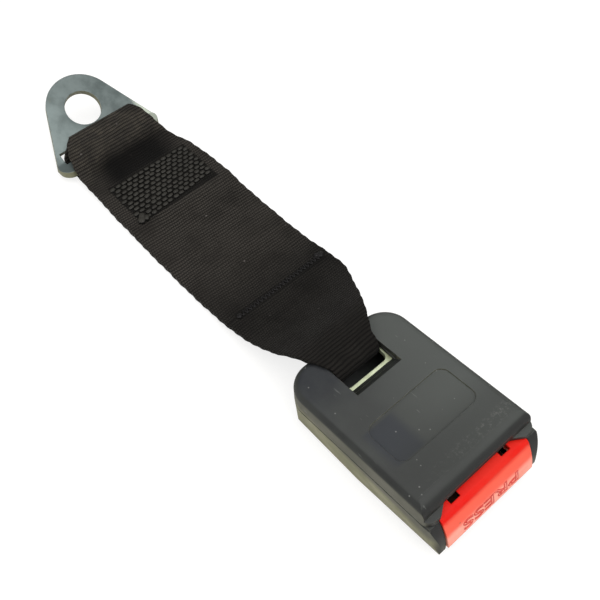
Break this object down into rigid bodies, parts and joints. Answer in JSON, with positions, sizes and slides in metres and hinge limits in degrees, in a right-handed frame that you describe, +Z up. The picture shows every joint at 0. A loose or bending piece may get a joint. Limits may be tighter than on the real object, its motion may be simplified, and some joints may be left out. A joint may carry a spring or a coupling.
{
  "type": "seat belt buckle",
  "caption": "Seat belt buckle with a red push button in a plastic housing, on a stitched folded webbing strap that ends in a slotted steel anchor plate with a bolt hole.",
  "frame": {"origin": "centre of the bolt hole in the anchor plate, half way through the plate", "axes": "+X runs along the strap from the anchor plate to the mouth of the housing, +Z up from the surface the belt end lies on, +Y to the left when looking along +X"},
  "size_m": [0.2365, 0.0527, 0.0258],
  "materials": {
    "cover_plastic": "fine matt grain",
    "button_plastic": "satin",
    "slider_plastic": "smooth",
    "guide_plastic": "smooth",
    "frame_steel": "yellow-passivated zinc",
    "rivet_steel": "plain",
    "latch_steel": "hardened, oiled",
    "pin_steel": "ground",
    "spring_steel": "drawn wire and strip",
    "plate_zinc": "satin zinc plating",
    "webbing": "fine cross-ribbed weave"
  },
  "bodies": {
    "housing": {"upper_cover": "cover_plastic", "lower_cover": "cover_plastic", "frame": "frame_steel", "frame_bridge": "frame_steel", "bridge_rivets": "rivet_steel", "latch_spring": "spring_steel", "latch_pivot_pin": "pin_steel", "ejector_spring": "spring_steel", "button_spring_left": "spring_steel", "button_spring_right": "spring_steel", "tongue_guide": "guide_plastic"},
    "button": {"release_button": "button_plastic"},
    "latch": {"latch_plate": "latch_steel"},
    "ejector": {"ejector": "slider_plastic"},
    "webbing": {"webbing_upper_ply": "webbing", "webbing_lower_ply": "webbing", "webbing_buckle_loop": "webbing", "webbing_anchor_loop": "webbing"},
    "anchor": {"anchor_plate": "plate_zinc"}
  },
  "joints": [
    {"name": "button_press", "type": "slide", "parent": "housing", "child": "button", "axis": [-1, 0, 0], "range_m": [0, 0.006], "stiffness_N_per_m": 600, "springref_m": -0.004, "deforming": ["button_spring_left", "button_spring_right"]},
    {"name": "latch_hinge", "type": "hinge", "parent": "housing", "child": "latch", "pos_m": [0.18506, -0.0024, -0.00148], "axis": [0, -1, 0], "range_deg": [0, 14], "deforming": ["latch_spring"]},
    {"name": "ejector_slide", "type": "slide", "parent": "housing", "child": "ejector", "axis": [-1, 0, 0], "range_m": [0, 0.0085], "stiffness_N_per_m": 400, "springref_m": -0.004, "deforming": ["ejector_spring"]},
    {"name": "webbing_swing", "type": "hinge", "parent": "housing", "child": "webbing", "pos_m": [0.16031, -0.0024, 0.00412], "axis": [0, 1, 0], "range_deg": [0, 90]},
    {"name": "anchor_swing", "type": "hinge", "parent": "webbing", "child": "anchor", "pos_m": [0.01856, -0.0024, -0.008], "axis": [0, 1, 0], "range_deg": [-90, 60]}
  ],
  "couplings": [
    {"joint": "latch_hinge", "follows": "button_press", "rad_per_m": 40.6}
  ]
}
